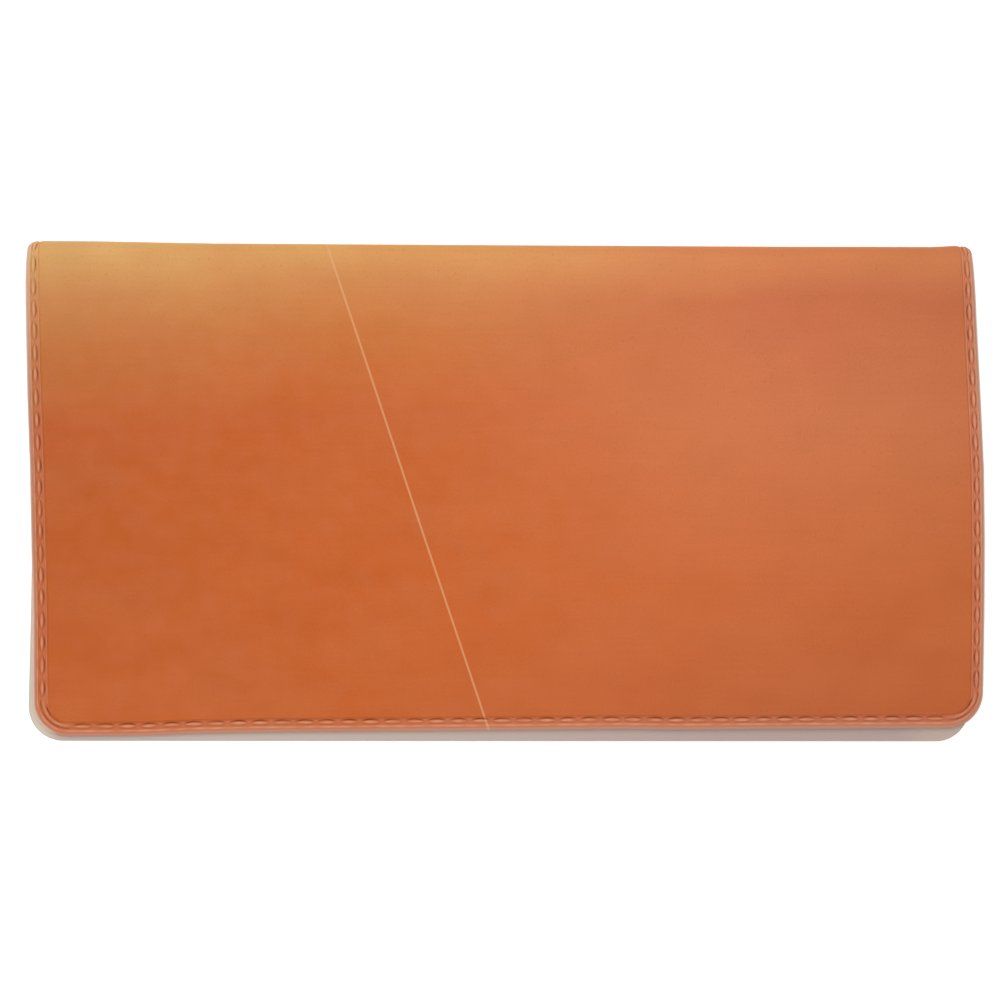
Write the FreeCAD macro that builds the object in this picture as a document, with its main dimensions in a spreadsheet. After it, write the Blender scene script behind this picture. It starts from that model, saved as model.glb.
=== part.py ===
import FreeCAD, Part
import math
import os
import re
import Sketcher

# A folded checkbook cover of soft vinyl, closed and lying on its front half.
# X runs along the fold, +Y points to the fold, -Y to the open mouth, +Z up.
# Each half is drawn lying on its outer face, with the fold line on its X axis and the
# mouth towards -Y. The back half is then turned over on top of the front half.

SIZES = [
    ("cover_width", 165.1, "length of the fold, and width of both halves"),
    ("front_length", 84.8, "front half, from the fold line to the mouth, at its middle"),
    ("front_skew", 0.8, "how much longer the front half is at one side than at the other"),
    ("front_lean", 0.65, "how far the front half leans sideways by its mouth"),
    ("back_length", 83.1, "back half, from the fold line to the mouth, at its middle"),
    ("back_skew", 0.8, "how much longer the back half is at one side than at the other"),
    ("back_lean", 1.8, "how far the back half leans sideways by its mouth"),
    ("corner_radius", 6.0, "rounding of the corners at the mouth"),
    ("outer_sheet", 0.45, "printed vinyl"),
    ("lining_sheet", 0.20, "plain vinyl behind it"),
    ("pocket_slot", 0.35, "room in a pocket for the card back of a pad"),
    ("pocket_sheet", 0.30, "vinyl of a pocket"),
    ("pocket_setback", 10.0, "from the fold line to the open edge of a pocket"),
    ("seam_width", 2.5, "heat sealed edge"),
    ("press_depth", 0.20, "how deep the heat seal presses the outer face"),
    ("bead_inset", 0.10, "from the cut edge to the outer bead"),
    ("bead_width", 0.60, "outer bead"),
    ("relief_height", 0.15, "height of the beads and stitches over the pressed edge"),
    ("inner_bead_inset", 1.95, "from the cut edge to the inner bead"),
    ("inner_bead_width", 0.35, "inner bead"),
    ("stitch_inset", 1.25, "from the cut edge to the middle of the stitches"),
    ("stitch_length", 2.5, "one embossed stitch"),
    ("stitch_width", 0.55, "one embossed stitch"),
    ("stitch_pitch", 3.8, "from stitch to stitch"),
    ("divider_sheet", 0.20, "clear film"),
    ("divider_clearance", 0.30, "from the divider to the pocket below and above it"),
    ("divider_inset", 6.35, "from the sides of the cover to the sides of the clear flap"),
    ("divider_length", 70.0, "clear flap, from its hinge to its free edge"),
    ("divider_radius", 5.0, "rounding of its free corners"),
    ("flange_setback", 3.4, "from the fold line to the divider's welded foot"),
    ("flange_width", 3.5, "welded foot"),
    ("hinge_gap", 0.15, "from the welded foot to the flap"),
    ("riser_gap", 0.05, "from the foot's upright edge to the underside of the flap"),
    ("split_gap", 0.05, "between the strips that a sheet is split into at the fold"),
]

# Heights over the outer face of a half.
HALF_LAYERS = ("outer_sheet", "lining_sheet", "pocket_slot", "pocket_sheet")
LINING_LEVEL, WELD_LEVEL, POCKET_LEVEL, HALF_STACK = (
    " + ".join(HALF_LAYERS[:count]) for count in (1, 2, 3, 4)
)
DIVIDER_LEVEL = HALF_STACK + " + divider_clearance"

# The fold is a half circle whose radius is half the closed thickness.
FOLD_RADIUS = "(" + DIVIDER_LEVEL + " + divider_sheet / 2)"
FOLD_LINE = f"((front_length + front_skew / 2 - {FOLD_RADIUS}) / 2)"
SIDE_SHIFT = "(-back_lean / 2)"
DIVIDER_WIDTH = "(cover_width - 2 * divider_inset)"
FLAP_SETBACK = "(flange_setback + flange_width + hinge_gap)"

# The fold bends in two quarters. The sheet is split at the middle of each.
FIRST_SPLIT = 45.0
SECOND_SPLIT = 135.0

UPSIDE_DOWN = FreeCAD.Rotation(FreeCAD.Vector(0, 1, 0), 180)

doc = FreeCAD.newDocument("checkbook_cover")
sheet = doc.addObject("Spreadsheet::Sheet", "sizes")


def fill_sheet():
    for row, (name, value, meaning) in enumerate(SIZES, start=1):
        sheet.set(f"A{row}", name)
        sheet.set(f"B{row}", str(value))
        sheet.setAlias(f"B{row}", name)
        sheet.set(f"C{row}", meaning)
    doc.recompute()


def tie(formula):
    """Put the sheet's name before each size that the formula names."""
    return re.sub(r"[a-z]+(_[a-z]+)+", lambda word: "sizes." + word.group(), formula)


def link(target, prop, formula):
    target.setExpression(prop, tie(formula))


def size(name):
    return float(getattr(sheet, name))


def fold_radius():
    half_stack = sum(size(layer) for layer in HALF_LAYERS)
    return half_stack + size("divider_clearance") + size("divider_sheet") / 2


def add(kind, label):
    target = doc.addObject(kind, label)
    target.Label = label
    return target


class Half:
    """The outline of one half, with its outer face down."""

    def __init__(self, name, lean_sign):
        self.name = name
        self.lean_sign = lean_sign
        sign = "-" if lean_sign < 0 else ""
        self.lean = f"({sign}{name}_lean)"
        self.left = f"({name}_length - {name}_skew / 2)"
        self.right = f"({name}_length + {name}_skew / 2)"

    def mouth_corners(self, inset):
        """The two mouth corners of the outline, as far inside the cut edge as inset says."""
        half_width = size("cover_width") / 2
        lean = self.lean_sign * size(f"{self.name}_lean")
        corners = []
        for side in (-1, 1):
            length = size(f"{self.name}_length") + side * size(f"{self.name}_skew") / 2
            x = side * (half_width - inset) + lean * (length - inset) / length
            corners.append(FreeCAD.Vector(x, inset - length, 0))
        return corners

    def fold_corners(self, inset):
        half_width = size("cover_width") / 2
        return [FreeCAD.Vector(side * (half_width - inset), 0, 0) for side in (-1, 1)]

    def place(self, piece):
        """Put a piece of this half where it lies in the closed cover."""
        turned = self.name == "back"
        if turned:
            piece.Placement = FreeCAD.Placement(FreeCAD.Vector(), UPSIDE_DOWN)
            link(piece, ".Placement.Base.z", f"2 * {FOLD_RADIUS}")
        link(piece, ".Placement.Base.x", SIDE_SHIFT)
        link(piece, ".Placement.Base.y", FOLD_LINE)


FRONT = Half("front", 1)
BACK = Half("back", -1)


def ground_plane(body):
    return next(f for f in body.Origin.OriginFeatures if f.Role == "XY_Plane")


def new_sketch(body, name, level):
    sketch = body.newObject("Sketcher::SketchObject", name)
    sketch.AttachmentSupport = [(ground_plane(body), "")]
    sketch.MapMode = "FlatFace"
    link(sketch, "AttachmentOffset.Base.z", level)
    return sketch


def four_sided(sketch, corners):
    """Four joined lines. Corners run fold left, fold right, mouth right, mouth left."""
    for number in range(4):
        line = Part.LineSegment(corners[number], corners[(number + 1) % 4])
        sketch.addGeometry(line)
    for number in range(4):
        sketch.addConstraint(Sketcher.Constraint("Coincident", number, 2, (number + 1) % 4, 1))


def hold(sketch, corner, axis, side, formula):
    """Hold a corner at a distance from the origin, on the side of it that side gives."""
    here = getattr(sketch.Geometry[corner].StartPoint, axis.lower())
    ends = (corner, 1, -1, 1) if side < 0 else (-1, 1, corner, 1)
    index = sketch.addConstraint(Sketcher.Constraint("Distance" + axis, *ends, abs(here)))
    link(sketch, f"Constraints[{index}]", formula)


def outline(body, name, half, inset, level, top="0"):
    """A sketch of a half's outline, inset from the cut edge. It starts at the fold line,
    or as far from it towards the mouth as top says."""
    sketch = new_sketch(body, name, level)
    numbers = half.fold_corners(0) + half.mouth_corners(0)[::-1]
    four_sided(sketch, numbers)
    for corner, side, length in ((0, -1, half.left), (1, 1, half.right)):
        shift = f"{'+' if side > 0 else '-'} {half.lean} * ({top}) / {length}"
        hold(sketch, corner, "X", side, f"cover_width / 2 - ({inset}) {shift}")
        if top == "0":
            sketch.addConstraint(Sketcher.Constraint("PointOnObject", corner, 1, -1))
        elif top.startswith("-"):
            hold(sketch, corner, "Y", 1, top[1:])
        else:
            hold(sketch, corner, "Y", -1, top)
    for corner, side, length in ((2, 1, half.right), (3, -1, half.left)):
        reach = f"({length} - ({inset})) / {length}"
        shift = f"{'+' if side > 0 else '-'} {half.lean} * {reach}"
        hold(sketch, corner, "X", side, f"cover_width / 2 - ({inset}) {shift}")
        hold(sketch, corner, "Y", -1, f"{length} - ({inset})")
    return sketch


def pad(body, sketch, thickness):
    feature = body.newObject("PartDesign::Pad", sketch.Name + "_pad")
    feature.Profile = sketch
    link(feature, "Length", thickness)
    sketch.Visibility = False
    doc.recompute()
    return feature


def upright_edge(shape, point):
    """The name of the upright edge nearest to a point of the plan."""
    found = []
    for number, edge in enumerate(shape.Edges, start=1):
        ends = [vertex.Point for vertex in edge.Vertexes]
        if len(ends) == 2 and math.hypot(ends[0].x - ends[1].x, ends[0].y - ends[1].y) < 1e-6:
            found.append((math.hypot(ends[0].x - point.x, ends[0].y - point.y), f"Edge{number}"))
    return min(found)[1]


def round_corners(body, corners, radius):
    base = body.Tip
    names = [upright_edge(base.Shape, corner) for corner in corners]
    feature = body.newObject("PartDesign::Fillet", base.Name + "_round")
    feature.Base = (base, names)
    link(feature, "Radius", radius)
    doc.recompute()
    return feature


def flat_sheet(half, label, level, thickness, top="0"):
    """A sheet of vinyl as large as its half, from the line that top gives to the mouth."""
    body = add("PartDesign::Body", label)
    pad(body, outline(body, label + "_outline", half, "0", level, top), thickness)
    round_corners(body, half.mouth_corners(0), "corner_radius")
    half.place(body)
    return body


def cover(half):
    """The printed outer sheet: a pressed edge, and the full thickness inside it."""
    body = flat_sheet(half, half.name + "_cover", "press_depth", "outer_sheet - press_depth")
    inner = outline(body, half.name + "_panel", half, "seam_width", "0")
    pad(body, inner, "press_depth")
    round_corners(body, half.mouth_corners(size("seam_width")), "corner_radius - seam_width")
    return body


def band(half, label, inset, width, level, height):
    """A band that follows the cut edge along both sides and the mouth."""
    body = add("PartDesign::Body", label)
    pad(body, outline(body, label + "_outside", half, inset, level), height)
    whole = body.Shape.Volume
    inside = f"{inset} + {width}"
    sketch = outline(body, label + "_inside", half, inside, level, "-seam_width")
    cut = body.newObject("PartDesign::Pocket", label + "_cut")
    cut.Profile = sketch
    cut.Reversed = True
    link(cut, "Length", height)
    sketch.Visibility = False
    doc.recompute()
    if not body.Shape.Volume < whole / 2:
        raise ValueError(f"{label}: the inside of the band wasn't cut away")
    start = 0.0 if inset == "0" else size(inset)
    inner_corners = half.mouth_corners(start + size(width))
    round_corners(body, inner_corners, f"corner_radius - ({inside})")
    round_corners(body, half.mouth_corners(start), f"corner_radius - {inset}")
    half.place(body)
    return body


def lens():
    """One embossed stitch: a lens in plan, its long axis along X."""
    reach = size("stitch_length") / 2
    bulge = size("stitch_width") / 2
    ends = FreeCAD.Vector(-reach, 0, 0), FreeCAD.Vector(reach, 0, 0)
    upper = Part.Arc(ends[0], FreeCAD.Vector(0, bulge, 0), ends[1]).toShape()
    lower = Part.Arc(ends[1], FreeCAD.Vector(0, -bulge, 0), ends[0]).toShape()
    face = Part.Face(Part.Wire([upper, lower]))
    return face.extrude(FreeCAD.Vector(0, 0, size("relief_height")))


def stitch_row(start, end):
    """Stitches along a straight stretch of the seam, evenly spread about its middle."""
    run = end - start
    count = int(run.Length / size("stitch_pitch"))
    angle = math.degrees(math.atan2(run.y, run.x))
    direction = FreeCAD.Vector(run).normalize()
    middle = (start + end) / 2
    level = size("press_depth") - size("relief_height")
    stitches = []
    for number in range(count):
        along = (number - (count - 1) / 2) * size("stitch_pitch")
        spot = middle + direction * along
        stitch = lens()
        turn = FreeCAD.Rotation(FreeCAD.Vector(0, 0, 1), angle)
        stitch.Placement = FreeCAD.Placement(FreeCAD.Vector(spot.x, spot.y, level), turn)
        stitches.append(stitch)
    return stitches


def stitches(half):
    """The rows of false stitches. The rounded corners have none."""
    inset = size("stitch_inset")
    radius = size("corner_radius") - inset
    fold = half.fold_corners(inset)
    mouth = half.mouth_corners(inset)
    rows = []
    for fold_end, mouth_end in zip(fold, mouth):
        upward = FreeCAD.Vector(fold_end - mouth_end).normalize() * radius
        rows += stitch_row(fold_end, mouth_end + upward)
    inward = FreeCAD.Vector(mouth[1] - mouth[0]).normalize() * radius
    rows += stitch_row(mouth[0] + inward, mouth[1] - inward)
    group = add("Part::Feature", half.name + "_stitches")
    group.Shape = Part.makeCompound(rows)
    half.place(group)
    return group


def edge_relief(half):
    """The two embossed beads beside the stitches."""
    level = "press_depth - relief_height"
    band(half, half.name + "_outer_bead", "bead_inset", "bead_width", level, "relief_height")
    inset, width = "inner_bead_inset", "inner_bead_width"
    band(half, half.name + "_inner_bead", inset, width, level, "relief_height")


def rod(label, radius, length, start, sweep):
    """A sector of a cylinder that lies along the fold. Angles run from straight down to +Y."""
    solid = add("Part::Cylinder", label)
    link(solid, "Radius", radius)
    link(solid, "Height", length)
    link(solid, "Angle", sweep)
    along_fold = FreeCAD.Rotation(FreeCAD.Vector(0, 1, 0), 90)
    turn = FreeCAD.Rotation(FreeCAD.Vector(0, 0, 1), start)
    solid.Placement = FreeCAD.Placement(FreeCAD.Vector(), along_fold.multiply(turn))
    link(solid, ".Placement.Base.x", f"{SIDE_SHIFT} - ({length}) / 2")
    link(solid, ".Placement.Base.y", FOLD_LINE)
    link(solid, ".Placement.Base.z", FOLD_RADIUS)
    return solid


def bend(label, outside, thickness, start, sweep, pressed):
    """A strip of sheet that is bent round the fold, from its start angle on. The outer sheet
    is pressed thinner at both ends, where the heat seal runs over the fold."""
    radius = f"{FOLD_RADIUS} - ({outside})"
    if pressed:
        full = rod(label + "_middle", radius, "cover_width - 2 * seam_width", start, sweep)
        ends = rod(label + "_ends", radius + " - press_depth", "cover_width", start, sweep)
        blank = add("Part::Fuse", label + "_blank")
        blank.Base = full
        blank.Tool = ends
    else:
        blank = rod(label + "_blank", radius, "cover_width", start, sweep)
    core = rod(label + "_core", f"{radius} - ({thickness})", "cover_width", 0, "360")
    strip = add("Part::Cut", label)
    strip.Base = blank
    strip.Tool = core
    return strip


def fold():
    """The outer sheet and the lining round the fold, each in three strips."""
    gap = math.degrees(size("split_gap") / 2 / fold_radius())
    half_gap = f"split_gap / 2 / {FOLD_RADIUS} * 180 / pi"
    strips = [
        ("front_bend", 0.0, f"{FIRST_SPLIT} - {half_gap}"),
        ("spine", FIRST_SPLIT + gap, f"{SECOND_SPLIT - FIRST_SPLIT} - 2 * {half_gap}"),
        ("back_bend", SECOND_SPLIT + gap, f"{180 - SECOND_SPLIT} - {half_gap}"),
    ]
    for label, start, sweep in strips:
        bend(label, "0", "outer_sheet", start, sweep, True)
        bend(label + "_lining", "outer_sheet", "lining_sheet", start, sweep, False)


def box(label, length, width, height, low_y, low_z):
    """A block centred on the fold's length."""
    block = add("Part::Box", label)
    link(block, "Length", length)
    link(block, "Width", width)
    link(block, "Height", height)
    link(block, ".Placement.Base.x", f"{SIDE_SHIFT} - ({length}) / 2")
    link(block, ".Placement.Base.y", low_y)
    link(block, ".Placement.Base.z", low_z)
    return block


def divider_flange():
    """The divider's foot: film welded to the lining, with an upright edge at its hinge."""
    low_y = f"{FOLD_LINE} - flange_setback - flange_width"
    foot = box("foot", DIVIDER_WIDTH, "flange_width", "divider_sheet", low_y, WELD_LEVEL)
    rise = f"{DIVIDER_LEVEL} - riser_gap - ({WELD_LEVEL})"
    riser = box("riser", DIVIDER_WIDTH, "divider_sheet", rise, low_y, WELD_LEVEL)
    flange = add("Part::Fuse", "divider_flange")
    flange.Base = foot
    flange.Tool = riser
    return flange


def divider():
    """The clear flap between the two pockets."""
    body = add("PartDesign::Body", "divider")
    sketch = new_sketch(body, "divider_outline", "0")
    half_width = size("cover_width") / 2 - size("divider_inset")
    length = size("divider_length")
    corners = [FreeCAD.Vector(-half_width, 0, 0), FreeCAD.Vector(half_width, 0, 0),
               FreeCAD.Vector(half_width, -length, 0), FreeCAD.Vector(-half_width, -length, 0)]
    four_sided(sketch, corners)
    for corner, side in ((0, -1), (1, 1), (2, 1), (3, -1)):
        hold(sketch, corner, "X", side, DIVIDER_WIDTH + " / 2")
    for corner in (0, 1):
        sketch.addConstraint(Sketcher.Constraint("PointOnObject", corner, 1, -1))
    for corner in (2, 3):
        hold(sketch, corner, "Y", -1, "divider_length")
    pad(body, sketch, "divider_sheet")
    round_corners(body, corners[2:], "divider_radius")
    link(body, ".Placement.Base.x", SIDE_SHIFT)
    link(body, ".Placement.Base.y", f"{FOLD_LINE} - {FLAP_SETBACK}")
    link(body, ".Placement.Base.z", DIVIDER_LEVEL)
    return body


def build():
    fill_sheet()
    for half in (FRONT, BACK):
        cover(half)
        flat_sheet(half, half.name + "_lining", LINING_LEVEL, "lining_sheet")
        band(half, half.name + "_edge_weld", "0", "seam_width", WELD_LEVEL, "pocket_slot")
        flat_sheet(half, half.name + "_pocket", POCKET_LEVEL, "pocket_sheet", "pocket_setback")
        edge_relief(half)
        stitches(half)
    fold()
    divider_flange()
    divider()
    doc.recompute()


PARTS = [side + piece for side in ("front", "back")
         for piece in ("_cover", "_lining", "_edge_weld", "_pocket", "_outer_bead",
                       "_inner_bead", "_stitches", "_bend", "_bend_lining")]
PARTS += ["spine", "spine_lining", "divider_flange", "divider"]


def check():
    for target in doc.Objects:
        if "Invalid" in target.State or "Error" in target.State:
            raise ValueError(f"{target.Label} failed: {target.State}")
    for label in PARTS:
        shape = doc.getObject(label).Shape
        if shape.isNull() or not shape.isValid():
            raise ValueError(f"{label} has no valid shape")


def write():
    os.makedirs("parts", exist_ok=True)
    for label in PARTS:
        shape = doc.getObject(label).Shape
        shape.exportStep(f"parts/{label}.step")
        box_size = shape.BoundBox
        print(f"{label}: {len(shape.Solids)} solid(s), {shape.Volume:.1f} mm3,"
              f" x {box_size.XMin:.2f}..{box_size.XMax:.2f}"
              f" y {box_size.YMin:.2f}..{box_size.YMax:.2f}"
              f" z {box_size.ZMin:.2f}..{box_size.ZMax:.2f}")


build()
check()
write()
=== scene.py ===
# %% [markdown]
# # A folded checkbook cover
# The real thing is a flat bifold of soft vinyl. A printed outer sheet runs from one mouth
# edge, round the fold, to the other. A plain lining lies inside it, each half has a pocket
# sheet, and a heat press welds all of them along the edge. The press also leaves a pattern
# in the edge that looks like sewing. A clear film flap is welded in beside the fold. The
# photo shows the cover closed, so what is said of its inside is what such covers usually
# have.
#
# The lesson builds the sheets one by one over the CAD frame, and then the finishes, the
# light and the camera.

# %% Load the frame
import math
import bmesh
import bpy
import numpy as np
from mathutils import Matrix, Vector
from mathutils.geometry import delaunay_2d_cdt


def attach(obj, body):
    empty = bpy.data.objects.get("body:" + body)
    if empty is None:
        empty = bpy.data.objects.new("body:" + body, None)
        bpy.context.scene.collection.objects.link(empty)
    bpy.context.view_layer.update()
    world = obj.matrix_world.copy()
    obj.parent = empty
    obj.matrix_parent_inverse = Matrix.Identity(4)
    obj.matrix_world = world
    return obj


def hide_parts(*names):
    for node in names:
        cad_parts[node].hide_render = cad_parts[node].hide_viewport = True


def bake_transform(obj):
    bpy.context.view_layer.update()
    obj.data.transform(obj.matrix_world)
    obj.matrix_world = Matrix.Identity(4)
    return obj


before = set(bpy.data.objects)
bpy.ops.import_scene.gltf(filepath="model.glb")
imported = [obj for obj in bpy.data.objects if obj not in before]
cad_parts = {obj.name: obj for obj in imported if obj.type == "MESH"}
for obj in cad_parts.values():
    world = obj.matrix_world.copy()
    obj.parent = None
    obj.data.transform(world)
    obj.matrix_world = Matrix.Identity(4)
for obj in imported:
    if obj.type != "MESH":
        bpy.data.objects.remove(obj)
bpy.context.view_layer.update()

# %% [markdown]
# ## Flat sheets and where they lie
# A sheet is easiest to think of before it is folded. A point of it then has three numbers:
# x across the cover, s down from the fold line to the mouth, and a depth in from the outer
# face. Round the fold s is negative, down to minus a quarter turn, where the sheets of the
# two halves meet. One function folds such points to their place, so that every layer keeps
# its distance from the next one all the way round.
#
# Soft vinyl doesn't stay straight. The lists of small numbers, in millimetres, say how far
# the side edges, the mouth and the fold line have wandered, and all layers follow them. The
# ends of the fold are also gathered inwards, because the weld there can't bend so tightly.

# %% Sizes in millimetres
MM = 0.001
WIDTH = 165.1
CORNER = 6.0
SEAM = 2.5
FOLD_Y = 41.75
FOLD_RADIUS = 1.7
SIDE_SHIFT = -0.9
QUARTER_TURN = math.pi / 2 * FOLD_RADIUS
OUTER, LINING, POCKET, INNER = 0.45, 0.65, 1.0, 1.3
HALVES = {
    "front": {"length": 84.8, "skew": 0.8, "lean": 0.65,
              "left": [0.1, 0.32, 0.55, 0.87, 0.88, 0.6, 0.17, 0],
              "right": [0, 0.2, 0.3, 0.25, 0.1, -0.3, -0.85, -1.15],
              "mouth": [0, 0, 0, 0, 0, 0, 0, 0, 0]},
    "back": {"length": 83.1, "skew": -0.8, "lean": 1.8,
             "left": [0, 0.1, 0.11, 0.28, 0.26, 0.2, -0.05, -0.12],
             "right": [0, 0.18, 0.56, 0.9, 0.81, 0.49, 0.05, -0.35],
             "mouth": [-0.08, -0.08, 0.2, 0.31, 0.34, 0.13, 0.08, 0.03, 0.1]},
}
DOWN = [0, 0.15, 0.3, 0.45, 0.6, 0.75, 0.9, 1]
ALONG_MOUTH = [-75, -64, -55, -45, 20, 28, 60, 75, 80]
ALONG_FOLD = [-82, -70, -50, 0, 50, 68, 76, 79.2, 82.5]
FOLD_SAG = [0, 0.03, 0.28, 0.28, 0.25, 0.16, 0.14, -0.1, -0.04]
SAG_FADE = 12
GATHER_WIDTH, GATHER_FADE = 7, 4
GATHER_IN_BEND, GATHER_BESIDE, GATHER_RIGHT = 1.2, 0.6, 0.75


def ease(value, start, end):
    """From 0 at the start to 1 at the end, with a soft turn at both."""
    t = np.clip((value - start) / (end - start), 0, 1)
    return t * t * (3 - 2 * t)


def lie(half, x, s, depth):
    """Places of flat points in the closed cover, in metres."""
    about = HALVES[half]
    x, s, depth = (np.asarray(v, float) for v in np.broadcast_arrays(x, s, depth))
    down = np.clip(s / about["length"], 0, 1)
    slant = 1 + about["skew"] * x / WIDTH / about["length"]
    s = np.where(s > 0, s * slant, s)
    flat = np.maximum(s, 0)
    turn = np.clip(-s, 0, QUARTER_TURN) / FOLD_RADIUS
    reach = FOLD_RADIUS - depth
    y = np.where(s > 0, FOLD_Y - s, FOLD_Y + reach * np.sin(turn))
    z = np.where(s > 0, depth, FOLD_RADIUS - reach * np.cos(turn))
    if half == "back":
        z = 2 * FOLD_RADIUS - z
    y = y - np.interp(x, ALONG_FOLD, FOLD_SAG) * np.exp(-flat / SAG_FADE)
    y = y + np.interp(x, ALONG_MOUTH, about["mouth"]) * ease(down, 0.5, 1)
    edge = np.clip((np.abs(x) - WIDTH / 2 + GATHER_WIDTH) / GATHER_WIDTH, 0, 1) ** 2
    edge = edge * np.where(x > 0, GATHER_RIGHT, 1)
    bent = GATHER_IN_BEND * (1 - np.cos(turn))
    gather = edge * (bent + GATHER_BESIDE * np.exp(-flat / GATHER_FADE))
    warp = np.where(x < 0, np.interp(down, DOWN, about["left"]),
                    np.interp(down, DOWN, about["right"])) * (2 * np.abs(x) / WIDTH) ** 4
    x = x + SIDE_SHIFT + about["lean"] * down + warp - np.sign(x) * gather
    return np.stack([x, y, z], axis=-1) * MM


print("mouth of the back half at", lie("back", 0, HALVES["back"]["length"], 0).round(5))

# %% [markdown]
# ## The seam's path
# The welded seam follows the cut edge down one side, round a corner, along the mouth and
# back up the other side. So the mesh of its band is a grid: one direction goes along the
# edge, the other goes in from it. The grid's step is a whole part of the stitch spacing,
# which gives every false stitch the same shape.

# %% Along the edge
STITCH_PITCH = 3.8
STITCH_LENGTH = 3.4
STITCH_WIDTH = 0.7
STITCH_INSET = 1.22
STEP = STITCH_PITCH / 14


def stitch_centres(run):
    """Stitches spread evenly over a straight run that starts at 0."""
    count = int(run / STITCH_PITCH)
    first = (run - (count - 1) * STITCH_PITCH) / 2
    return first + STITCH_PITCH * np.arange(count)


def steps(start, end, anchor, step):
    """Steps from start to end that pass through the anchor."""
    first = math.ceil((start - anchor) / step + 0.3)
    last = math.floor((end - anchor) / step - 0.3)
    inner = anchor + step * np.arange(first, last + 1)
    return np.concatenate([[start], inner, [end]])


def edge_path(half, start, step):
    """Points of the cut edge as rows of x, s, inward x and how far the edge has turned:
    0 on the sides, 1 at the mouth. The last number is minus the inward s as well."""
    length = HALVES[half]["length"]
    half_width = WIDTH / 2
    side = steps(start, length - CORNER, stitch_centres(length - CORNER)[0], step)
    half_mouth = half_width - CORNER
    mouth = steps(-half_mouth, half_mouth, stitch_centres(2 * half_mouth)[0] - half_mouth, step)
    round_corner = math.pi / 2 * CORNER
    turns = np.linspace(0, math.pi / 2, max(6, round(round_corner / step)) + 1)[1:-1]
    corner = [(math.cos(turn), math.sin(turn)) for turn in turns]
    rows = [(-half_width, s, 1, 0) for s in side]
    rows += [(-half_mouth - CORNER * c, length - CORNER + CORNER * q, c, q) for c, q in corner]
    rows += [(x, length, 0, 1) for x in mouth]
    rows += [(half_mouth + CORNER * q, length - CORNER + CORNER * c, -q, c) for c, q in corner]
    rows += [(half_width, s, -1, 0) for s in side[::-1]]
    return np.array(rows)


def inside_path(path, inset):
    """The points of a path moved in from the edge, as x and s."""
    return path[:, 0] + inset * path[:, 2], path[:, 1] - inset * path[:, 3]


print("points along the seam:", len(edge_path("back", -QUARTER_TURN, STEP)))

# %% [markdown]
# ## Meshes from a band and a filled middle
# The band is fine, about a tenth of a millimetre across the seam, because the relief in it
# is small. The middle of a sheet is nearly flat, so there a few hundred points are enough.
# A Delaunay triangulation joins the two without a visible border. Round the fold the
# rows stay close together, so that the bend looks round and not faceted. The flat place of
# each point is kept as its texture coordinate, in units of 100 mm.

# %% Band and middle
FLAT_UNIT = 100
SMOOTH_BELOW = math.radians(50)


class Build:
    """Gathers points and faces of one mesh, with numbers kept for each point."""

    def __init__(self, half):
        self.half = half
        self.points, self.faces, self.flat = [], [], []
        self.marks = {"inset": [], "relief": [], "pressed": []}

    def add(self, x, s, depth, **marks):
        first = len(self.points)
        x, s, depth = np.broadcast_arrays(x, s, depth)
        self.points.extend(lie(self.half, x, s, depth))
        self.flat.extend(zip(x, s))
        for key, values in self.marks.items():
            values.extend(np.broadcast_to(marks.get(key, 0.0), x.shape))
        return np.arange(first, first + len(x))

    def strip(self, one, other):
        """A row of faces between two rows of points."""
        for a, b, c, d in zip(one[:-1], one[1:], other[1:], other[:-1]):
            self.faces.append((a, b, c, d))


def band(build, path, insets, depth_at):
    """The grid of the seam's band. Returns its rows of point numbers, outermost first."""
    rows = []
    for inset in insets:
        x, s = inside_path(path, inset)
        depth, marks = depth_at(x, s, inset, path[:, 3])
        rows.append(build.add(x, s, depth, inset=inset, **marks))
    for one, other in zip(rows[:-1], rows[1:]):
        build.strip(one, other)
    return rows


def middle(build, path, border, inset, grid, depth_at):
    """Fills the space inside the band's last row. Returns the top edge's point numbers."""
    start, length = path[0, 1], HALVES[build.half]["length"]
    outline = [build.flat[n] for n in border]
    calm = max(start, 0) + 1.0
    bend = sorted({round(s, 6) for s in path[path[:, 3] == 0, 1] if start < s < calm})
    columns = np.arange(-WIDTH / 2 + inset + 1.2, WIDTH / 2 - inset - 1.1, grid)
    columns += (WIDTH / 2 - inset - 1.2 - columns[-1]) / 2
    extra = [(x, s) for s in [start, *bend] for x in columns]
    for gap, every in ((0.4, 2), (1.1, 4), (2.4, 8)):
        ring = zip(*inside_path(path[::every], inset + gap))
        extra += [(x, s) for x, s in ring if s > calm + 0.2]
    inside = inset + 3.4
    for s in np.arange(calm + 1.0, length - inside, grid):
        extra += [(x, s) for x in columns if abs(x) < WIDTH / 2 - inside]
    first_top = len(outline)
    points = [Vector(p) for p in outline + extra]
    top = list(range(first_top, first_top + len(columns)))
    loop = list(range(len(outline))) + top[::-1]
    filled = delaunay_2d_cdt(points, [], [loop], 1, 1e-7)
    x, s = np.array(extra).T
    depth, marks = depth_at(x, s, inset + 1.0, 0 * x)
    numbers = np.concatenate([border, build.add(x, s, depth, inset=inset + 1.0, **marks)])
    for face in filled[2]:
        build.faces.append(tuple(numbers[filled[3][v][0]] for v in face))
    return numbers[top]


def turn_faces_outwards(mesh):
    work = bmesh.new()
    work.from_mesh(mesh)
    bmesh.ops.recalc_face_normals(work, faces=work.faces)
    work.to_mesh(mesh)
    work.free()


def place_alone(name, mesh):
    """Puts a new object in the scene, selected and active, so that operators work on it."""
    piece = bpy.data.objects.new(name, mesh)
    bpy.context.scene.collection.objects.link(piece)
    bpy.ops.object.select_all(action="DESELECT")
    piece.select_set(True)
    bpy.context.view_layer.objects.active = piece
    return piece


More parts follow.
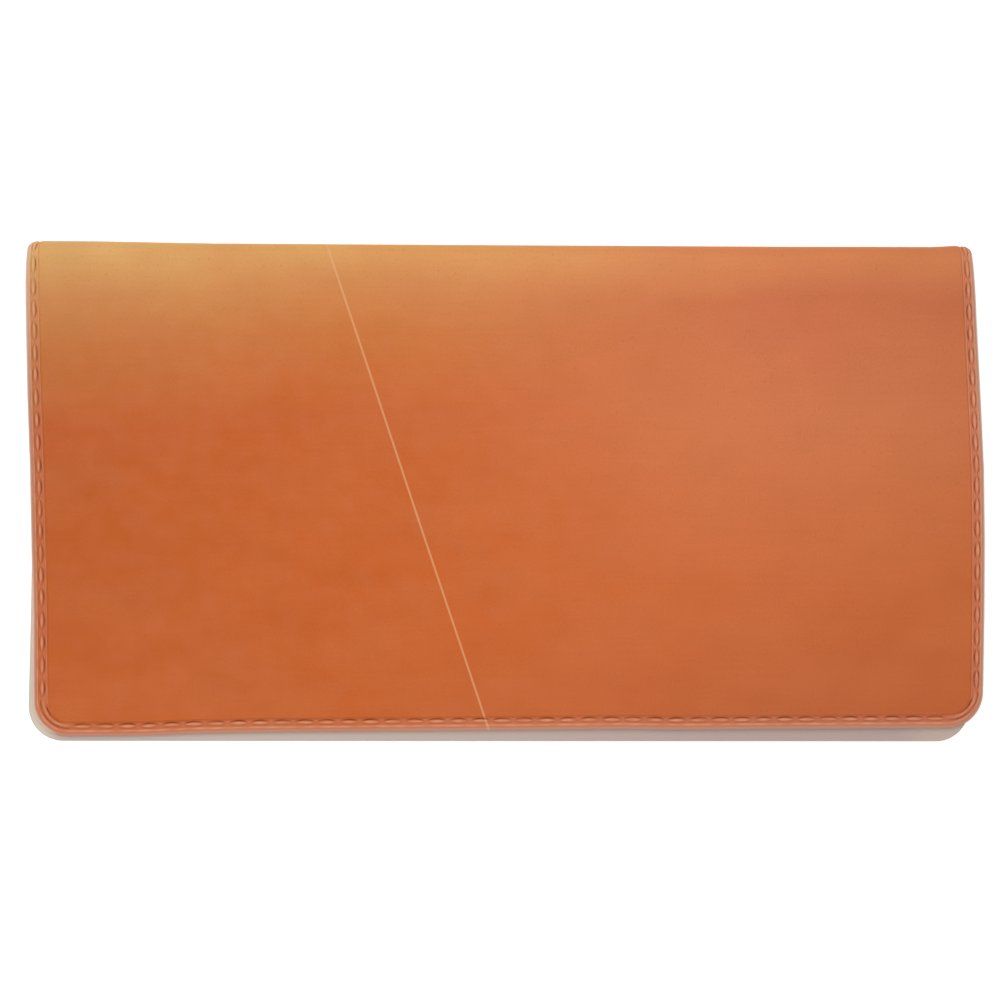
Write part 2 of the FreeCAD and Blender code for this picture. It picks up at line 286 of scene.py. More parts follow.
def finish_mesh(build, name):
    """Makes the object, with the flat coordinates as its UV and its faces outwards."""
    mesh = bpy.data.meshes.new(name)
    points = [tuple(point) for point in build.points]
    mesh.from_pydata(points, [], [tuple(map(int, face)) for face in build.faces])
    for key, values in build.marks.items():
        layer = mesh.attributes.new(key, "FLOAT", "POINT")
        layer.data.foreach_set("value", np.array(values, np.float32))
    side = 1 if build.half == "back" else -1
    flat = np.array(build.flat, np.float32)
    flat[:, 1] = side * (flat[:, 1] + QUARTER_TURN)
    corner = np.empty(len(mesh.loops), np.int32)
    mesh.loops.foreach_get("vertex_index", corner)
    layer = mesh.uv_layers.new(name="flat_sheet")
    layer.data.foreach_set("uv", (flat[corner] / FLAT_UNIT).ravel())
    turn_faces_outwards(mesh)
    piece = place_alone(name, mesh)
    bpy.ops.object.shade_smooth_by_angle(angle=SMOOTH_BELOW)
    print(name, len(mesh.vertices), "points,", len(mesh.polygons), "faces")
    return piece


def sheet_piece(name, half, start, step, outside, inside, outer_insets, inner_insets, grid=2.5):
    """A closed sheet between two faces, each given as a function for its depth."""
    build = Build(half)
    path = edge_path(half, start, step)
    outer = band(build, path, outer_insets, outside)
    outer_top = middle(build, path, outer[-1], outer_insets[-1], grid, outside)
    inner = band(build, path, inner_insets, inside)
    inner_top = middle(build, path, inner[-1], inner_insets[-1], 2 * grid, inside)
    build.strip(outer[0], inner[0])
    left = [row[0] for row in outer], [row[0] for row in inner]
    right = [row[-1] for row in outer], [row[-1] for row in inner]
    over = [*left[0], *outer_top, *right[0][::-1]]
    under = [*left[1], *inner_top, *right[1][::-1]]
    build.faces.append(tuple(over + under[::-1]))
    return finish_mesh(build, name)


# %% [markdown]
# ## The embossed edge
# The heated tool presses the edge 0.2 mm deep and shapes it. From the cut edge inwards come
# a melted rim, a round bead, a row of lens-shaped false stitches with a groove on both
# sides, and a thin ridge before the panel. Along the mouth the tool sat 0.45 mm further in,
# and there a groove takes the ridge's place. It came in step by step down the left side.
# Round the corners the stitches give way to a plain bead.
#
# A stitch is a lens with pointed ends. Every other form is a smooth hump, given by its
# height, the place of its middle and its reach. Where two meet, the higher one counts. What
# stands out is then taken off the depth, and what is sunk is added to it.

# %% Depth of the outer face
PRESS = 0.2
RELIEF = 0.2
GROOVE = 0.13
MOUTH_OFFSET = 0.45
LEFT_OFFSET = 0.13
CORNER_LEAD = 0.9
FAR = 9.0


def hump(value, centre, reach):
    """1 at the centre, falling smoothly to 0 at the reach."""
    return np.clip(1 - ((value - centre) / reach) ** 2, 0, 1) ** 1.5


def from_stitch(half, x, s, turned):
    """How far along the edge the nearest false stitch's middle is."""
    side = stitch_centres(HALVES[half]["length"] - CORNER)
    side = np.append(side, side[0] - STITCH_PITCH)
    run = WIDTH - 2 * CORNER
    mouth = stitch_centres(run) - run / 2
    along_side = np.abs(s[:, None] - side).min(axis=1)
    along_mouth = np.abs(x[:, None] - mouth).min(axis=1)
    return np.where(turned == 0, along_side, np.where(turned == 1, along_mouth, FAR))


def in_corner(half, x, s, turned):
    """1 round the corners of the mouth, falling to 0 over the ends of the straight runs."""
    past_side = s - (HALVES[half]["length"] - CORNER - CORNER_LEAD)
    past_mouth = np.abs(x) - (WIDTH / 2 - CORNER - CORNER_LEAD)
    past = np.where(turned == 0, past_side, np.where(turned == 1, past_mouth, FAR))
    return ease(past, 0, 1.2)


def embossed(half):
    """The outer face's depth, and how far its relief stands out (+) or in (-)."""
    def depth_at(x, s, inset, turned):
        down = s / HALVES[half]["length"]
        left = (LEFT_OFFSET + (MOUTH_OFFSET - LEFT_OFFSET) * down) * (1 - turned**2) * (x < 0)
        inner = inset - MOUTH_OFFSET * turned**2 - left
        slim = np.clip(1 - (from_stitch(half, x, s, turned) / (STITCH_LENGTH / 2)) ** 2, 0, 1)
        across = np.abs(inner - STITCH_INSET)
        half_lens = STITCH_WIDTH / 2 * slim**0.8
        lens = np.clip(1 - (across / np.maximum(half_lens, 1e-3)) ** 2, 0, 1)
        lens = slim**0.4 * lens**0.8
        corner = in_corner(half, x, s, turned)
        at_mouth = ease(turned, 0, 0.4)
        bead = 0.9 * hump(inset - 0.6 * left, 0.6 + 0.3 * turned, 0.28 + 0.15 * turned)
        corner_bead = corner * 0.8 * hump(inner, 1.42, 0.42)
        ridge = 0.8 * (1 - at_mouth) * hump(inner, 2.03, 0.18)
        raised = np.maximum.reduce([bead, lens, corner_bead, ridge])

        side = np.sign(x) * (1 - turned)
        panel_groove = 0.85 + 0.15 * turned + 0.05 * side
        edge_groove = 0.7 - 0.35 * turned + 0.26 * side
        groove = np.where(inner > STITCH_INSET, panel_groove, edge_groove) * slim**0.5
        by_stitch = groove * hump(across, half_lens + 0.09, 0.16)
        by_bead = 0.35 * (1 - turned) * hump(inset, 0.33, 0.09)
        by_corner_bead = corner * 0.7 * hump(inner, 0.93, 0.12)
        mouth_groove = at_mouth * (1 - 0.6 * turned**8) * hump(inner, 1.9 - 0.2 * turned, 0.17)
        sunk = np.maximum.reduce([by_stitch, by_bead, by_corner_bead, mouth_groove])
        sunk = sunk * (1 - raised)
        uneven = 0.8 + 0.2 * np.sin(1.9 * s + 0.7 * x) * np.sin(0.43 * s - 1.3 * x)
        raised, sunk = raised * uneven, sunk * uneven
        pressed = 1 - ease(inner + 0.35 * turned, 2.15, 2.4)
        melted = 0.12 * np.clip(1 - inset / 0.3, 0, 1) ** 2
        depth = PRESS * pressed - RELIEF * raised + GROOVE * sunk + melted
        return np.maximum(depth, 0), {"relief": raised - sunk, "pressed": pressed}
    return depth_at


def level(depth):
    """The same depth everywhere."""
    def depth_at(x, s, inset, turned):
        return np.full(len(x), depth), {}
    return depth_at


ACROSS_SEAM = [0, 0.04, 0.09, 0.15, 0.22, 0.3, 0.38, 0.46, 0.54, 0.62, 0.69, 0.75, 0.8, 0.85,
               0.9, 0.95, 1, 1.06, 1.12, 1.17, 1.22, 1.27, 1.33, 1.39, 1.44, 1.49, 1.54, 1.59,
               1.64, 1.69, 1.75, 1.82, 1.88, 1.94, 2, 2.06, 2.12, 2.18, 2.25, 2.32, 2.4, 2.48,
               2.57, 2.67, 2.78, 2.9]
skins = {}
for half in HALVES:
    skins[half] = sheet_piece(
        f"{half}_printed_skin", half, -QUARTER_TURN, STEP,
        embossed(half), level(OUTER), ACROSS_SEAM, [0, 0.6])

# %% [markdown]
# ## Lining, weld and pockets
# Inside the printed sheet lies a plain one. The pocket sheet starts ten millimetres from
# the fold, and its other three edges are melted to the lining. The melted rim swells a
# little past the cut edge, which hides the joint between the layers. The photo shows only
# a strip of the inside, so the pockets and the seam's mark on them are guesses.

# %% Inner sheets
BAR_EDGE, BAR_DEPTH = (2.2, 2.4), 0.11
SWELL_INSET, SWELL_REACH, SWELL_HEIGHT = 2.52, 0.2, 0.04
ROUNDED_WIDTH, ROUNDED_DEPTH = 0.12, 0.05
LINING_GAP = 0.01
POCKET_START = 10.0


def seam_print(deep):
    """The smooth step that the press's flat back bar leaves on the inside of the seam, as
    far as the cut edge, with a low swell where the vinyl was pushed aside."""
    def depth_at(x, s, inset, turned):
        pressed_flat = 1 - ease(inset, *BAR_EDGE)
        swell = hump(inset, SWELL_INSET, SWELL_REACH)
        rounded = np.clip(1 - inset / ROUNDED_WIDTH, 0, 1)
        depth = deep - BAR_DEPTH * pressed_flat + SWELL_HEIGHT * swell - ROUNDED_DEPTH * rounded
        return depth + 0 * x, {"pressed": 1 - ease(inset, BAR_EDGE[0], 2.45)}
    return depth_at


INSIDE_SEAM = [0, 0.06, 0.15, 0.22, 0.3, 0.4, 0.5, 0.9, 1.3, 1.8, 2.15, 2.22, 2.28, 2.34, 2.4,
               2.46, 2.52, 2.6, 2.68, 2.78]
PLAIN_STEP = 0.55
linings, pockets = {}, {}
for half in HALVES:
    linings[half] = sheet_piece(
        f"{half}_lining_sheet", half, -QUARTER_TURN, PLAIN_STEP,
        level(OUTER + LINING_GAP), level(LINING), [0, 0.6], INSIDE_SEAM)
    pockets[half] = sheet_piece(
        f"{half}_pocket_sheet", half, POCKET_START, PLAIN_STEP,
        level(POCKET), seam_print(INNER), [0, 0.6], INSIDE_SEAM)


RIM_START = 0.8


def rim_piece(name, half):
    """The melted rim between lining and pocket: a closed profile swept along the edge."""
    build = Build(half)
    path = edge_path(half, RIM_START, PLAIN_STEP)
    profile = [(0.03, LINING), (-0.03, LINING + 0.07), (-0.05, LINING + 0.17),
               (-0.03, LINING + 0.28), (0.03, POCKET), (1.2, POCKET), (2.3, POCKET),
               (SEAM, POCKET - 0.1), (SEAM, LINING + 0.1), (2.3, LINING), (1.2, LINING)]
    rows = []
    for inset, depth in profile:
        x, s = inside_path(path, inset)
        rows.append(build.add(x, s, depth, pressed=1.0))
    for one, other in zip(rows, rows[1:] + rows[:1]):
        build.strip(one, other)
    build.faces.append(tuple(row[0] for row in rows))
    build.faces.append(tuple(row[-1] for row in rows[::-1]))
    return finish_mesh(build, name)


rims = {half: rim_piece(f"{half}_welded_rim", half) for half in HALVES}

# %% [markdown]
# ## The clear divider
# A flap of clear film keeps the writing off the next check. Its foot is welded to the
# lining beside the fold, it turns up, and then lies flat between the two pockets. It is one
# sheet, drawn as a profile and swept across the cover, with its free corners rounded. The
# photo doesn't show it, and its sizes are guesses.

# %% Divider film
FILM = 0.2
FILM_WIDTH = 152.4
FILM_CORNER = 5.0
FOOT_END, RISER_Y, FLAP_START, FREE_END = 38.35, 34.95, 34.2, -35.3
FLAP_Z = 1.7
BEND = 0.4
CUT_EDGE = 0.45
FILM_SMOOTH_BELOW = math.radians(40)


def film_profile():
    """Points of the film's middle surface as y and z, from its foot to its free edge."""
    low = LINING + FILM / 2 + 0.01
    foot, over = RISER_Y + BEND, RISER_Y - BEND
    line = [(y, low) for y in np.linspace(FOOT_END, foot, 8)]
    turns = np.linspace(0, math.pi / 2, 7)[1:]
    line += [(foot - BEND * math.sin(t), low + BEND - BEND * math.cos(t)) for t in turns]
    rise = FLAP_Z - BEND
    line += [(RISER_Y, z) for z in np.linspace(low + BEND, rise, 3)[1:]]
    line += [(over + BEND * math.cos(t), rise + BEND * math.sin(t)) for t in turns]
    line += [(y, FLAP_Z) for y in np.linspace(FLAP_START, FREE_END + FILM_CORNER, 30)]
    ends = FREE_END + FILM_CORNER * (1 - np.sin(np.linspace(0, math.pi / 2, 16)[1:]))
    line += [(y, FLAP_Z) for y in ends]
    return line


def film_piece(name):
    """The film as one mesh, with the distance walked along its profile as flat length."""
    columns = np.concatenate([[-1, -0.994], np.linspace(-0.97, 0.97, 47), [0.994, 1]])
    points, flat, cut_edge, faces = [], [], [], []
    walked, last = 0.0, None
    for y, z in film_profile():
        left = y - FREE_END
        into_corner = max(0, FILM_CORNER - left)
        short = FILM_CORNER - math.sqrt(max(0, FILM_CORNER**2 - into_corner**2))
        half_width = FILM_WIDTH / 2 - short
        walked += math.dist((y, z), last) if last else 0
        last = (y, z)
        ripple = 0.05 * np.sin(columns * 5.1 + walked * 0.09) * min(1, max(0, 34 - y) / 20)
        for u, lift in zip(columns, ripple):
            points.append((SIDE_SHIFT + u * half_width, y, z + lift))
            flat.append((u * half_width, walked))
            from_edge = min(half_width * (1 - abs(u)), left)
            cut_edge.append(max(0.0, 1 - from_edge / CUT_EDGE))
    wide = len(columns)
    for row in range(len(points) // wide - 1):
        for column in range(wide - 1):
            first = row * wide + column
            faces.append((first, first + 1, first + wide + 1, first + wide))
    mesh = bpy.data.meshes.new(name)
    mesh.from_pydata([tuple(v * MM for v in p) for p in points], [], faces)
    layer = mesh.attributes.new("cut_edge", "FLOAT", "POINT")
    layer.data.foreach_set("value", np.array(cut_edge, np.float32))
    layer = mesh.uv_layers.new(name="flat_sheet")
    for loop in mesh.loops:
        layer.data[loop.index].uv = [v / FLAT_UNIT for v in flat[loop.vertex_index]]
    piece = place_alone(name, mesh)
    thick = piece.modifiers.new("thickness", "SOLIDIFY")
    thick.thickness = FILM * MM
    thick.offset = 0
    bpy.ops.object.modifier_apply(modifier=thick.name)
    turn_faces_outwards(piece.data)
    bpy.ops.object.shade_smooth_by_angle(angle=FILM_SMOOTH_BELOW)
    print(name, len(piece.data.polygons), "faces")
    return piece


film = film_piece("divider_film")

# %% [markdown]
# ## Finishes
# One function turns a hex colour into the linear numbers that a shader wants. One works out
# a pattern's scale from the size of its cells in millimetres. One adds a node with its
# settings and links.

# %% Helpers for the finishes
VINYL_IOR = 1.53
SOFT = {"interpolation_type": "SMOOTHSTEP"}
COLOURS = {"data_type": "RGBA"}
ADD = {"operation": "ADD"}
SUBTRACT = {"operation": "SUBTRACT"}
MULTIPLY = {"operation": "MULTIPLY"}
MULTIPLY_ADD = {"operation": "MULTIPLY_ADD"}
DIVIDE = {"operation": "DIVIDE"}
ABSOLUTE = {"operation": "ABSOLUTE"}
MINIMUM = {"operation": "MINIMUM"}
MAXIMUM = {"operation": "MAXIMUM"}
LENGTH = {"operation": "LENGTH"}


def colour(hex_code):
    """An sRGB hex colour as linear RGBA."""
    parts = [int(hex_code[i:i + 2], 16) / 255 for i in (1, 3, 5)]
    return [c / 12.92 if c <= 0.04045 else ((c + 0.055) / 1.055) ** 2.4 for c in parts] + [1]


def cells(*size_mm):
    """The scale that gives a pattern cells of that width and length on the flat sheet."""
    return [FLAT_UNIT / mm for mm in size_mm] + [0]


def add_node(tree, kind, settings=None, out=0, **inputs):
    """Adds a node of that kind and gives back its output of that number or name, or the
    node itself where out is None. An input is a value, or a socket to link from. Its name
    is written with underscores for spaces, and in_1 means input number 1."""
    node = tree.nodes.new("ShaderNode" + kind)
    for key, value in (settings or {}).items():
        setattr(node, key, value)
    for key, value in inputs.items():
        key = int(key[3:]) if key.startswith("in_") else key.replace("_", " ")
        if isinstance(value, bpy.types.NodeSocket):
            tree.links.new(value, node.inputs[key])
        else:
            node.inputs[key].default_value = value
    return node if out is None else node.outputs[out]


def empty_tree(owner):
    """Turns on the nodes of a material or a world, and gives back its tree, emptied."""
    owner.use_nodes = True
    owner.node_tree.nodes.clear()
    return owner.node_tree


def new_material(name):
    """A material that holds only its shader and its output."""
    material = bpy.data.materials.new(name)
    tree = empty_tree(material)
    shader = add_node(tree, "BsdfPrincipled", out=None)
    add_node(tree, "OutputMaterial", out=None, Surface=shader.outputs[0])
    return material, tree, shader


print("a pattern of 0.5 mm cells has scale", cells(0.5, 0.5))

# %% [markdown]
# ### Printed vinyl
# The outer sheet is calendered PVC with a printed colour wash under a satin clear coat. It
# reads as warm gold at the fold, sinking to burnt orange at the mouth over 87 mm. Its
# patterns follow the sheet, so they read the flat coordinates. A table gives the size of
# each in millimetres: soft mottling of about a centimetre, faint streaks that run across
# the cover, grit of 0.4 mm and specks of 0.6 mm. One thin pale stripe crosses it.
#
# The colour is built like the print itself, one layer over another, from a short list. One
# layer is not print but painted light: a broad pool that brightens the upper middle.

# %% The printed wash
WASH_LENGTH = 87
LEFT_WASH = [(0.0, "#E2B070"), (0.04, "#D7A05C"), (0.126, "#C98345"), (0.23, "#BF6B2C"),
             (0.383, "#BA5616"), (0.55, "#BA550D"), (1.0, "#C25B1A")]
RIGHT_WASH = [(0.04, "#D07C4B"), (0.12, "#C36940"), (0.352, "#C76F43"), (0.7, "#C3622E"),
              (1.0, "#BD5E2F")]


def printed_wash(tree, flat):
    """The print's colour with a painted pool of light, and where it is across, from the fold
    and down the wash.
    """
    parts = add_node(tree, "SeparateXYZ", out=None, Vector=flat)
    across, down = parts.outputs[0], parts.outputs[1]
    noise = {}
    for name, size, detail in (
            ("drift", (40, 28.57), 2.0), ("rosy", (20, 12.5), 2.0),
            ("mottle", (11.11, 7.143), 3.0), ("streak", (16.67, 0.6667), 3.0),
            ("grit", (0.3846, 0.3846), 2.0), ("specks", (0.5882, 0.5882), 0.0)):
        scaled = add_node(tree, "VectorMath", MULTIPLY, in_0=flat, in_1=cells(*size))
        noise[name] = add_node(tree, "TexNoise", Vector=scaled, Scale=1.0, Detail=detail)
    for name, low, high, bottom, top in (
            ("rosy", 0.35, 0.65, 0.0, 0.14), ("mottle", 0.3, 0.7, 0.98, 1.02),
            ("streak", 0.3, 0.7, 0.99, 1.01), ("grit", 0.35, 0.65, 0.975, 1.025),
            ("specks", 0.74, 0.8, 0.0, 0.18)):
        noise[name] = add_node(tree, "MapRange", SOFT, Value=noise[name], From_Min=low,
                               From_Max=high, To_Min=bottom, To_Max=top)

    from_fold = add_node(tree, "Math", ABSOLUTE, in_0=down)
    drift = add_node(tree, "Math", MULTIPLY_ADD, in_0=noise["drift"], in_1=0.08, in_2=-0.04)
    drifted = add_node(tree, "Math", ADD, in_0=from_fold, in_1=drift)
    place = add_node(tree, "Math", DIVIDE, in_0=drifted, in_1=WASH_LENGTH / FLAT_UNIT)
    near_left = add_node(tree, "Math", MINIMUM, in_0=across, in_1=-0.23)
    lean = add_node(tree, "Math", MULTIPLY_ADD, in_0=near_left, in_1=0.084, in_2=0.06)
    leaning = add_node(tree, "Math", ADD, in_0=place, in_1=lean)
    ends = []
    for factor, stops in ((leaning, LEFT_WASH), (place, RIGHT_WASH)):
        ramp = add_node(tree, "ValToRGB", out=None, Fac=factor)
        elements = ramp.color_ramp.elements
        while len(elements) < len(stops):
            elements.new(0.5)
        for element, (position, hex_code) in zip(elements, stops):
            element.position = position
            element.color = colour(hex_code)
        ends.append(ramp.outputs[0])
    to_right = add_node(tree, "MapRange", SOFT, Value=across, From_Min=0.55,
                        From_Max=-0.376, To_Min=1.0, To_Max=0.0)
    wash = add_node(tree, "Mix", COLOURS, out=2, in_0=to_right, in_6=ends[0], in_7=ends[1])

    # Painted light: a broad pool that makes the wash up to 18% brighter, brightest a little
    # right of the middle, about 30 mm below the fold.
    painted_light_x = add_node(tree, "Math", MULTIPLY_ADD, in_0=across, in_1=1.2, in_2=-0.04)
    painted_light_y = add_node(tree, "Math", MULTIPLY_ADD, in_0=from_fold, in_1=1.59, in_2=-0.47)
    painted_light_place = add_node(tree, "CombineXYZ", X=painted_light_x, Y=painted_light_y)
    from_painted_light = add_node(tree, "VectorMath", LENGTH, out="Value", in_0=painted_light_place)
    squared = add_node(tree, "Math", MULTIPLY, in_0=from_painted_light, in_1=from_painted_light)
    glow = add_node(tree, "MapRange", Value=squared, To_Min=1.18, To_Max=1.0)
    shade = add_node(tree, "Math", MULTIPLY, in_0=noise["mottle"], in_1=noise["streak"])
    shade = add_node(tree, "Math", MULTIPLY, in_0=shade, in_1=noise["grit"])
    stripe_x = add_node(tree, "Math", MULTIPLY_ADD, in_0=down, in_1=0.311, in_2=-0.3097)
    beside_stripe = add_node(tree, "Math", SUBTRACT, in_0=across, in_1=stripe_x)
    off_stripe = add_node(tree, "Math", ABSOLUTE, in_0=beside_stripe)
    stripe = add_node(tree, "MapRange", SOFT, Value=off_stripe, From_Min=0.0008,
                      From_Max=0.0026, To_Min=0.55, To_Max=0.0)
    # The glow layer is painted light; the others are print and its random tone.
    for mode, factor, tint in (
            ("MULTIPLY", 1.0, glow), ("MIX", noise["rosy"], colour("#D07A4A")),
            ("MULTIPLY", 1.0, shade), ("MIX", noise["specks"], colour("#9A5528")),
            ("MIX", stripe, colour("#EBAE7C"))):
        wash = add_node(tree, "Mix", {"data_type": "RGBA", "blend_type": mode}, out=2,
                        in_0=factor, in_6=wash, in_7=tint)
    return wash, across, from_fold, place


print("stops of the wash:", len(LEFT_WASH), "at the left,", len(RIGHT_WASH), "at the right")

# %% [markdown]
# Along the seam the print is drawn paler, a painted sheen on the pressed band, and its rim is
# paler still beside the gold, perhaps from the heat of the press. The crests of its relief
# are drawn lighter, a painted highlight, and its grooves darker, painted shade. At the sides
# the cut edge is pale, and at the lower left the pale strip is wider. All of this was matched
# to the photo by its colour, and no cause for it was found.
#
# The mesh keeps three numbers for each point, and they say where each of these goes: how
# far in from the edge it is, how far its relief stands out, and whether the press was there.

# %% The seam's colours
def seam_colours(tree, wash, across, from_fold, place):
    """The wash with the colours that the photo shows along the seam, painted sheen, highlight
    and shade among them.
    """
    inset, relief, pressed = (
        add_node(tree, "Attribute", {"attribute_name": key}, out="Fac")
        for key in ("inset", "relief", "pressed"))
    from_middle = add_node(tree, "Math", ABSOLUTE, in_0=across)
    much = {}
    # Painted light along the seam: the paler pressed band is painted sheen, the lighter crests
    # of the relief are painted highlight, and the darker grooves are painted shade.
    for name, value, start, end, at_start, at_end in (
            ("painted sheen", pressed, 0.0, 1.0, 0.0, 0.07),
            ("painted highlight", relief, 0.3, 1.0, 0.0, 0.3),
            ("groove", relief, -0.75, 0.0, 0.95, 0.0),
            ("gold", place, 0.1, 0.4, 1.0, 0.0),
            ("left half", across, -0.7, 0.0, 1.0, 0.0),
            ("rim", inset, 0.15, 1.1, 0.45, 0.0),
            ("sides", from_middle, 0.79, 0.82, 0.0, 0.6),
            ("cut edge", inset, 0.06, 0.3, 1.0, 0.0),
            ("lower left", from_fold, 0.52, 0.62, 0.0, 1.0),
            ("left end", across, -0.8, -0.78, 1.0, 0.0),
            ("wide edge", inset, 0.15, 0.45, 0.85, 0.0)):
        much[name] = add_node(tree, "MapRange", SOFT, Value=value, From_Min=start,
                              From_Max=end, To_Min=at_start, To_Max=at_end)
    for name, other in (("gold", "left half"), ("cut edge", "sides"),
                        ("lower left", "left end"), ("wide edge", "lower left")):
        much[name] = add_node(tree, "Math", MULTIPLY, in_0=much[name], in_1=much[other])
    rim = add_node(tree, "Mix", COLOURS, out=2, in_0=much["gold"], in_6=colour("#C0A090"),
                   in_7=colour("#D8C9B7"))
    # The first three layers are painted sheen, highlight and shade; the rest are the pale cut
    # edge and rim.
    for mode, name, tint in (
            ("MIX", "painted sheen", colour("#F6D9C6")), ("MIX", "painted highlight", colour("#FFCAA6")),
            ("MULTIPLY", "groove", colour("#B29578")), ("MIX", "rim", rim),
            ("MIX", "cut edge", colour("#DCCBBE")), ("MIX", "wide edge", colour("#DEC0AC"))):
        wash = add_node(tree, "Mix", {"data_type": "RGBA", "blend_type": mode}, out=2,
                        in_0=much[name], in_6=wash, in_7=tint)
    return wash


def printed_vinyl():
    """Print under a clear coat: a satin surface with a weak, broad highlight, a fine grain,
    and a shine that varies a little from patch to patch."""
    material, tree, shader = new_material("printed_pvc_calendered_satin")
    flat = add_node(tree, "UVMap", {"uv_map": "flat_sheet"})
    wash = seam_colours(tree, *printed_wash(tree, flat))
    tree.links.new(wash, shader.inputs["Base Color"])
    noise = {}
    for name, size, detail in (("grain", 0.14286, 2.0), ("patches", 3.333, 3.0)):
        scaled = add_node(tree, "VectorMath", MULTIPLY, in_0=flat, in_1=cells(size, size))
        noise[name] = add_node(tree, "TexNoise", Vector=scaled, Scale=1.0, Detail=detail)
    bump = add_node(tree, "Bump", Strength=0.12, Distance=0.00006, Height=noise["grain"])
    tree.links.new(bump, shader.inputs["Normal"])
    rough = add_node(tree, "MapRange", Value=noise["patches"], From_Min=0.3, From_Max=0.7,
                     To_Min=0.42, To_Max=0.52)
    tree.links.new(rough, shader.inputs["Roughness"])
    shader.inputs["IOR"].default_value = VINYL_IOR
    shader.inputs["Specular IOR Level"].default_value = 0.16
    return material


printed = printed_vinyl()
for skin in skins.values():
    skin.data.materials.append(printed)
print("finish:", printed.name)

# %% [markdown]
# ### Plain vinyl
# The lining, pockets and melted rim are plain calendered PVC in warm taupe. The photo shows
# only a strip of it. Its fine pebble grain, which takes the shine off, is what such vinyl
# usually has. A real grain would be finer, and it is drawn at 0.8 mm so that it shows. Its
# pits are drawn darker than its tops, as painted shade. The hot bar of the press would wipe it
# out along the seam, and leave that smoother. Along the seam the tint is drawn a little duller
# to the right, almost to its end, as painted shade, and at the left it is drawn paler, towards
# cream, as painted light.

# %% Plain vinyl
PEBBLE = 0.8


def plain_vinyl():
    """Grained PVC: matt and soft to the eye, with painted shade in the grain's pits, and
    smoother and a little shiny where pressed.
    """
    material, tree, shader = new_material("plain_pvc_calendered_grained")
    flat = add_node(tree, "UVMap", {"uv_map": "flat_sheet"})
    pressed = add_node(tree, "Attribute", {"attribute_name": "pressed"}, out="Fac")
    from_pebble = add_node(tree, "TexVoronoi", {"feature": "SMOOTH_F1"}, Vector=flat,
                           Scale=FLAT_UNIT / PEBBLE, Smoothness=0.35)
    pebble = add_node(tree, "MapRange", Value=from_pebble, From_Min=0.1, From_Max=0.6,
                      To_Min=1.0, To_Max=0.0)
    height = add_node(tree, "Mix", {"data_type": "FLOAT"}, in_0=pressed, in_2=pebble, in_3=0.5)
    # Painted shade: the grain's pits take the darker taupe and its tops the lighter one.
    tint = add_node(tree, "Mix", COLOURS, out=2, in_0=height, in_6=colour("#B7A192"),
                    in_7=colour("#C9B4A6"))

    across = add_node(tree, "SeparateXYZ", Vector=flat)
    much = {}
    # Painted light on the pressed seam: duller to the right as painted shade, and paler at the
    # left end as painted light.
    for name, start, end, at_start, at_end in (
            ("painted shade to the right", -0.55, 0.45, 0.0, 1.0), ("short of the end", 0.68, 0.77, 1.0, 0.0),
            ("painted light at the left", -0.81, -0.77, 0.9, 0.0)):
        much[name] = add_node(tree, "MapRange", SOFT, Value=across, From_Min=start,
                              From_Max=end, To_Min=at_start, To_Max=at_end)
    for name, other in (("painted shade to the right", much["short of the end"]), ("painted shade to the right", pressed),
                        ("painted light at the left", pressed)):
        much[name] = add_node(tree, "Math", MULTIPLY, in_0=much[name], in_1=other)
    for mode, name, hex_code in (("MULTIPLY", "painted shade to the right", "#F1EDF4"), ("MIX", "painted light at the left", "#CDBFAA")):
        tint = add_node(tree, "Mix", {"data_type": "RGBA", "blend_type": mode}, out=2,
                        in_0=much[name], in_6=tint, in_7=colour(hex_code))
    tree.links.new(tint, shader.inputs["Base Color"])

    bump = add_node(tree, "Bump", Strength=0.6, Distance=0.0002, Height=height)
    tree.links.new(bump, shader.inputs["Normal"])
    rough = add_node(tree, "MapRange", Value=pressed, To_Min=0.55, To_Max=0.36)
    tree.links.new(rough, shader.inputs["Roughness"])
    shader.inputs["IOR"].default_value = VINYL_IOR
    return material


plain = plain_vinyl()
for piece in [*linings.values(), *pockets.values(), *rims.values()]:
    piece.data.materials.append(plain)
print("finish:", plain.name)

# %% [markdown]
# ### Clear film
# The photo doesn't show the divider. Such flaps are press-polished PVC film, clear with a
# faint blue-grey cast. Slow ripples give its reflections their shape. Part of it is plain
# see-through, so that light reaches the vinyl under it without being bent, as it does
# through so thin a film. Its cut edges are matt and a little darker.

# %% Clear film
RIPPLE = 11.11


def clear_film():
    """Polished PVC film: sharp but wavy reflections over what lies under it."""
    material, tree, shader = new_material("clear_pvc_film_polished")
    cut = add_node(tree, "Attribute", {"attribute_name": "cut_edge"}, out="Fac")
    tint = add_node(tree, "Mix", COLOURS, out=2, in_0=cut, in_6=colour("#EEF2F3"),
                    in_7=colour("#A9B6BA"))
    tree.links.new(tint, shader.inputs["Base Color"])
    rough = add_node(tree, "MapRange", Value=cut, To_Min=0.09, To_Max=0.45)
    tree.links.new(rough, shader.inputs["Roughness"])
    flat = add_node(tree, "UVMap", {"uv_map": "flat_sheet"})
    ripples = add_node(tree, "TexNoise", Vector=flat, Scale=FLAT_UNIT / RIPPLE, Detail=2.0)
    bump = add_node(tree, "Bump", Strength=0.2, Distance=0.0004, Height=ripples)
    tree.links.new(bump, shader.inputs["Normal"])
    shader.inputs["IOR"].default_value = VINYL_IOR
    shader.inputs["Transmission Weight"].default_value = 1.0
    shader.inputs["Alpha"].default_value = 0.4
    return material


clear = clear_film()
film.data.materials.append(clear)
print("finish:", clear.name)

# %% [markdown]
# ## How the sheets move
# The halves turn about two hinges at the fold, a quarter turn at each. The sheets that
# run round the fold meet at its middle, and here they keep their place, tied to no half.
# Pockets and rims stay with their half.

